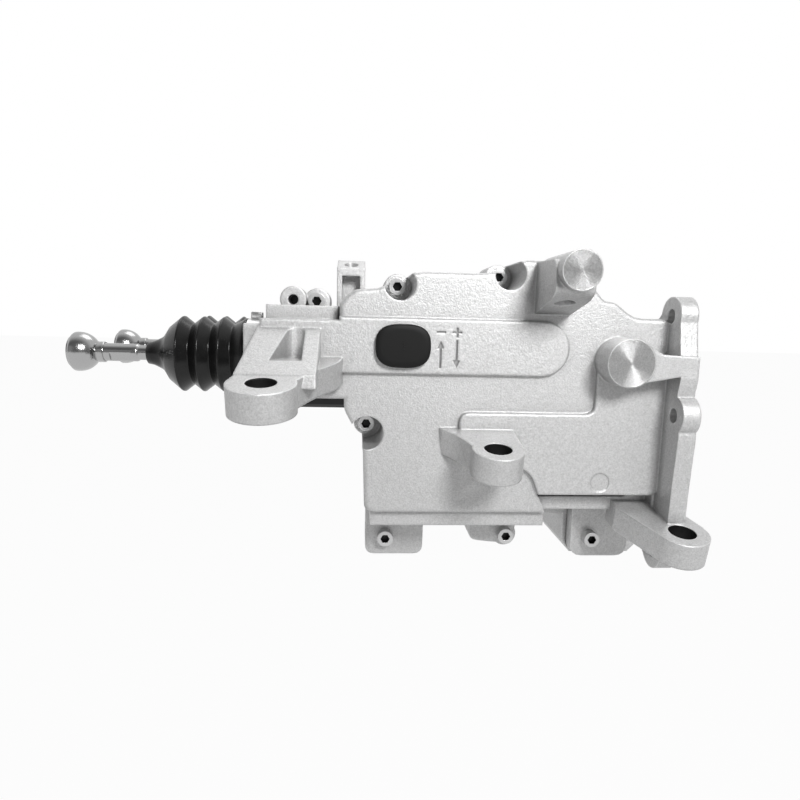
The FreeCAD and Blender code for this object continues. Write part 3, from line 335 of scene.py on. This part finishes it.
def settled(name, shape, body, material, smooth=35):
    """Makes the piece from its shape, smooth where the faces meet at a shallow angle."""
    mesh = bpy.data.meshes.new(name)
    for face in shape.faces:
        face.smooth = True
    for edge in shape.edges:
        edge.smooth = len(edge.link_faces) == 2 and edge.calc_face_angle(0) < math.radians(smooth)
    shape.to_mesh(mesh)
    shape.free()
    mesh.materials.append(material)
    piece = bpy.data.objects.new(name, mesh)
    bpy.context.scene.collection.objects.link(piece)
    if body:
        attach(piece, body)
    return piece


def arc(x, r, radius, start, end, count):
    """Points of an arc in a profile, angles in degrees from straight out."""
    turns = [math.radians(start + (end - start) * i / count) for i in range(count + 1)]
    return [(x + radius * math.sin(t), r + radius * math.cos(t)) for t in turns]


# The two rods in millimetres: the height of both axes, then each one's depth and how far it stands back.
rods_up = 8.15
rods = (("front", 70, 0), ("rear", 128, 3.5))
rod_steel = turned_steel("turned_rod_steel", (0.42, 0.42, 0.42), 0.2, 0.0005)
for side, y, back in rods:
    ball = -113.5 + back
    nose = [(ball - 3.6, 0), (ball - 3.6, 6.6), (ball - 4, 6.9), (ball - 4, 8.9), (ball - 3.75, 9.15),
            (ball - 3.1, 9.2), (ball - 2.9, 9.9), (ball - 2.4, 10.6)]
    head = arc(ball, 0, 11.25, -8, 62, 20)
    neck = [(ball + 10.2, 5.6), (ball + 10.7, 5.9), (ball + 14, 5.9), (ball + 14.4, 5.6),
            (ball + 14.4, 5.1), (ball + 18, 5.1), (ball + 18.1, 5.1), (ball + 29.9, 5.1),
            (ball + 30, 5.1), (ball + 32.2, 5.1), (ball + 32.8, 4.9), (ball + 33.6, 4.2),
            (-28.2 + back, 4.2), (-28.2 + back, 0)]
    rod = spun(side + "_ball_rod", nose + head + neck, y, rods_up, side + "_rod", rod_steel,
               flats=(ball + 18.05, ball + 29.95, 4.2))
    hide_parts(side + "_push_rod")

# Boots: black rubber bellows on the rods, moulded with three folds and a cuff that grips the
# spigot.
rubber = bpy.data.materials.new("boot_rubber")
tree = tree_of(rubber)
spot = node(tree, "ShaderNodeTexCoord", {}, output="Object")
dust = node(tree, "ShaderNodeTexNoise", {}, Vector=spot, Scale=160.0, Detail=4.0)
skin = node(tree, "ShaderNodeTexNoise", {}, Vector=spot, Scale=900.0, Detail=2.0)
bump = node(tree, "ShaderNodeBump", {}, Strength=0.18, Distance=0.0002, Height=skin)
tone = node(tree, "ShaderNodeMix", {"data_type": "RGBA"}, output=2)
tone.out.node.inputs[6].default_value = (0.003, 0.003, 0.003, 1)
tone.out.node.inputs[7].default_value = (0.010, 0.010, 0.010, 1)
tree.links.new(dust.out, tone.out.node.inputs[0])
finish_tree(tree, node(tree, "ShaderNodeBsdfPrincipled", {}, Base_Color=tone, Roughness=dust * 0.16 + 0.16,
                       Normal=bump, Specular_IOR_Level=0.3))
fold, first_fold = 11.4, -54.3
for side, y, back in rods:
    small = -75 + back
    outside = [(small, 4.5), (small, 5.8), (small + 0.4, 6.3), (small + 3.5, 6.9), (small + 6.4, 8.3),
               (small + 8.2, 9.2), (small + 9.8, 10.4), (small + 11.6, 13), (small + 13.6, 16)]
    for i in range(3):
        peak = first_fold + fold * i
        outside += arc(peak, 20.9, 0.8, -52, 52, 6)
        outside += [(peak + fold / 2 - 0.6 * math.sin(math.radians(t)),
                     18.2 - 0.6 * math.cos(math.radians(t))) for t in (45, 22, 0, -22, -45)]
    cuff = [(-20.4, 20.4), (-19.4, 21.2), (-18.4, 21.3), (-17.9, 20.7), (-8.6, 20.6), (-8.35, 20.3),
            (-8.3, 18.1)]
    inside = [(-20.4, 18.1)]
    for i in (2, 1, 0):
        peak = first_fold + fold * i
        inside += [(peak + fold / 2, 15.6), (peak, 19.2)]
    inside += [(small + 12.6, 12.6), (small + 8.2, 7.2), (small + 6, 4.5), (small, 4.5)]
    boot = spun(side + "_bellows", outside + cuff + inside, y, rods_up, None, rubber, smooth=50)
    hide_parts(side + "_boot")
    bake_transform(boot)

# Boot clamps: a bright steel band round each cuff, drawn tight by a crimped ear on top.
band_steel = turned_steel("clamp_band_steel", (0.72, 0.72, 0.72), 0.28, 0.0009)
left = -17.6
for side, y, _ in rods:
    hoop = [(left, 20.65), (left, 21.2), (left + 0.25, 21.42), (left + 1.1, 21.3), (left + 7.9, 21.3),
            (left + 8.75, 21.42), (left + 9, 21.2), (left + 9, 20.65), (left, 20.65)]
    band = spun(side + "_clamp_band", hoop, y, rods_up, "casing", band_steel)
    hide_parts(side + "_boot_clamp")
    shape = bmesh.new()
    bmesh.ops.create_cube(shape, size=1)
    bmesh.ops.scale(shape, vec=(0.0068, 0.0046, 0.0042), verts=shape.verts)
    bmesh.ops.bevel(shape, geom=shape.edges[:], offset=0.0009, segments=3, profile=0.5, affect="EDGES",
                    material=-1)
    bmesh.ops.translate(shape, verts=shape.verts, vec=(left / 1000 + 0.0045, y / 1000,
                                                       rods_up / 1000 + 0.0231))
    settled(side + "_clamp_ear", shape, "casing", band_steel)


def use(material, *names):
    """Gives CAD pieces their material."""
    for name in names:
        nodes[name].data.materials.clear()
        nodes[name].data.materials.append(material)


def moulded(name, tone, roughness, scale=600.0, depth=0.15, metallic=0.0, gloss=0.5):
    """A plain finish with a fine skin and a little unevenness in its gloss."""
    material = bpy.data.materials.new(name)
    tree = tree_of(material)
    spot = node(tree, "ShaderNodeTexCoord", {}, output="Object")
    skin = node(tree, "ShaderNodeTexNoise", {}, Vector=spot, Scale=scale, Detail=3.0)
    cloud = node(tree, "ShaderNodeTexNoise", {}, Vector=spot, Scale=60.0, Detail=3.0)
    bump = node(tree, "ShaderNodeBump", {}, Strength=depth, Distance=0.0002, Height=skin)
    shade = node(tree, "ShaderNodeMix", {"data_type": "RGBA"}, output=2)
    shade.out.node.inputs[6].default_value = tuple(c * 0.82 for c in tone) + (1,)
    shade.out.node.inputs[7].default_value = tuple(min(1, c * 1.15) for c in tone) + (1,)
    tree.links.new(cloud.out, shade.out.node.inputs[0])
    finish_tree(tree, node(tree, "ShaderNodeBsdfPrincipled", {}, Base_Color=shade,
                           Roughness=cloud * 0.2 + (roughness - 0.1), Metallic=metallic, Normal=bump,
                           Specular_IOR_Level=gloss))
    return material


# Service plug: a soft black oval head on the face with a rounded rim and a small moulded mark; its
# stem reaches into the opening in front of the hand wheel.
plug_rubber = moulded("plug_rubber", (0.005, 0.005, 0.005), 0.55, gloss=0.25)
plug_x, plug_z = 0.0702, 0.0167


def oval_ring(shape, y, half_x, half_z, power, count=96):
    """A closed ring of points round the plug's middle."""
    ring = []
    for i in range(count):
        t = 2 * math.pi * i / count
        c, d = math.cos(t), math.sin(t)
        ring.append(shape.verts.new((plug_x + math.copysign(abs(c) ** power, c) * half_x, y,
                                     plug_z + math.copysign(abs(d) ** power, d) * half_z)))
    return ring


# Rings from the stem's inner end out to the head's face: depth, half width, half height, squareness.
shape = bmesh.new()
levels = [(0.0525, 0.0108, 0.0077, 0.9), (0.0451, 0.0108, 0.0077, 0.9), (0.0449, 0.0152, 0.0120, 0.72),
          (0.0422, 0.0152, 0.0120, 0.72), (0.0415, 0.0149, 0.0117, 0.72), (0.0411, 0.0143, 0.0111, 0.72),
          (0.04105, 0.0118, 0.0086, 0.76)]
rings = [oval_ring(shape, *level) for level in levels]
for one, two in zip(rings, rings[1:]):
    for i in range(len(one)):
        after = (i + 1) % len(one)
        shape.faces.new((one[i], one[after], two[after], two[i]))
shape.faces.new(rings[0])
shape.faces.new(rings[-1])
for dz in (-0.0016, 0.0, 0.0016):
    made = bmesh.ops.create_cone(shape, cap_ends=True, segments=16, radius1=0.0006, radius2=0.0005,
                                 depth=0.0004)
    bmesh.ops.rotate(shape, verts=made["verts"], cent=(0, 0, 0),
                     matrix=Matrix.Rotation(math.radians(90), 3, "X"))
    bmesh.ops.translate(shape, verts=made["verts"], vec=(plug_x, 0.0411, plug_z + dz))
bmesh.ops.recalc_face_normals(shape, faces=shape.faces)
head = settled("plug_head", shape, "plug", plug_rubber, smooth=60)
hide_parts("adjuster_plug")

# Casing screws: socket-head steel screws round the joint, with painted shade in their sockets. The control
# board's screws are of a plain steel.
def socket_steel(name, places, face, socket):
    """Zinc-plated steel with soft edges and painted shade in the sockets (x, z) that open toward the front.
    """
    material = moulded(name, (0.66, 0.66, 0.66), 0.34, 500.0, 0.1, 0.8)
    tree = material.node_tree
    spot = node(tree, "ShaderNodeTexCoord", {}, output="Object")
    split = node(tree, "ShaderNodeSeparateXYZ", {}, spot)
    x, y, z = (Paint(tree, split.out.node.outputs[i]) for i in range(3))
    # Painted shade: the colour goes nearly black inside each socket, behind the head's face.
    inside = 0.0
    for cx, cz in places:
        dx, dz = x - cx / 1000, z - cz / 1000
        inside = (dx * dx + dz * dz < socket ** 2) + inside
    inside = inside * (y > face + 0.00008)
    surface = next(made for made in tree.nodes if made.type == "BSDF_PRINCIPLED")
    plain = Paint(tree, surface.inputs["Base Color"].links[0].from_socket)
    shade = node(tree, "ShaderNodeMix", {"data_type": "RGBA"}, output=2)
    tree.links.new(inside.out, shade.out.node.inputs[0])
    tree.links.new(plain.out, shade.out.node.inputs[6])
    shade.out.node.inputs[7].default_value = (0.015, 0.015, 0.015, 1)
    tree.links.new(shade.out, surface.inputs["Base Color"])
    bump = next(made for made in tree.nodes if made.type == "BUMP")
    edge = node(tree, "ShaderNodeBevel", {"samples": 6}, 0.0005)
    tree.links.new(edge.out, bump.inputs["Normal"])
    return material


screw_places = [(20.4, 40.5), (68.3, 50.3), (129.5, 57.5), (51.1, -33.1), (64.4, -107.2), (142, -105.5),
                (198.9, -107.8)]
use(socket_steel("zinc_screw_steel", screw_places, 0.078, 0.0031), "casing_screws")
use(moulded("board_screw_steel", (0.5, 0.5, 0.5), 0.34, 500.0, 0.1, 1.0), "board_screws")

# Harness connector: a black moulded shell under the left end, with plated pins in its socket.
connector_plastic = moulded("connector_plastic", (0.012, 0.012, 0.013), 0.45)
use(connector_plastic, "connector_shell")
use(moulded("plated_pins", (0.75, 0.6, 0.32), 0.3, 800.0, 0.05, 1.0), "connector_pins")

# Hidden drives: moulded gears and hand wheel, sintered bushes and nuts, steel shafts and bearings,
# and the drawn cases of the motors.
gear_plastic = moulded("moulded_gear", (0.62, 0.58, 0.46), 0.5)
bronze = moulded("sintered_bronze", (0.5, 0.33, 0.14), 0.45, 1200.0, 0.25, 0.9)
drawn_steel = moulded("drawn_motor_case", (0.55, 0.55, 0.55), 0.36, 300.0, 0.06, 1.0)
for side in ("front", "rear"):
    use(gear_plastic, side + "_screw_gear", side + "_idler_gear")
    use(bronze, side + "_guide_bush", side + "_screw_nut")
    use(drawn_steel, side + "_motor_case", side + "_screw_bearing")
    use(rod_steel, side + "_push_tube", side + "_lead_screw", side + "_motor_rotor", side + "_idler_pin",
        side + "_motor_pinion")
use(gear_plastic, "front_adjuster_wheel")

# Control board: a green lacquered board on four pillars with three sleeved capacitors.
use(moulded("board_lacquer", (0.02, 0.16, 0.06), 0.3, 300.0, 0.08), "control_board")
use(moulded("capacitor_sleeve", (0.03, 0.03, 0.05), 0.35, 300.0, 0.03), "board_capacitors")
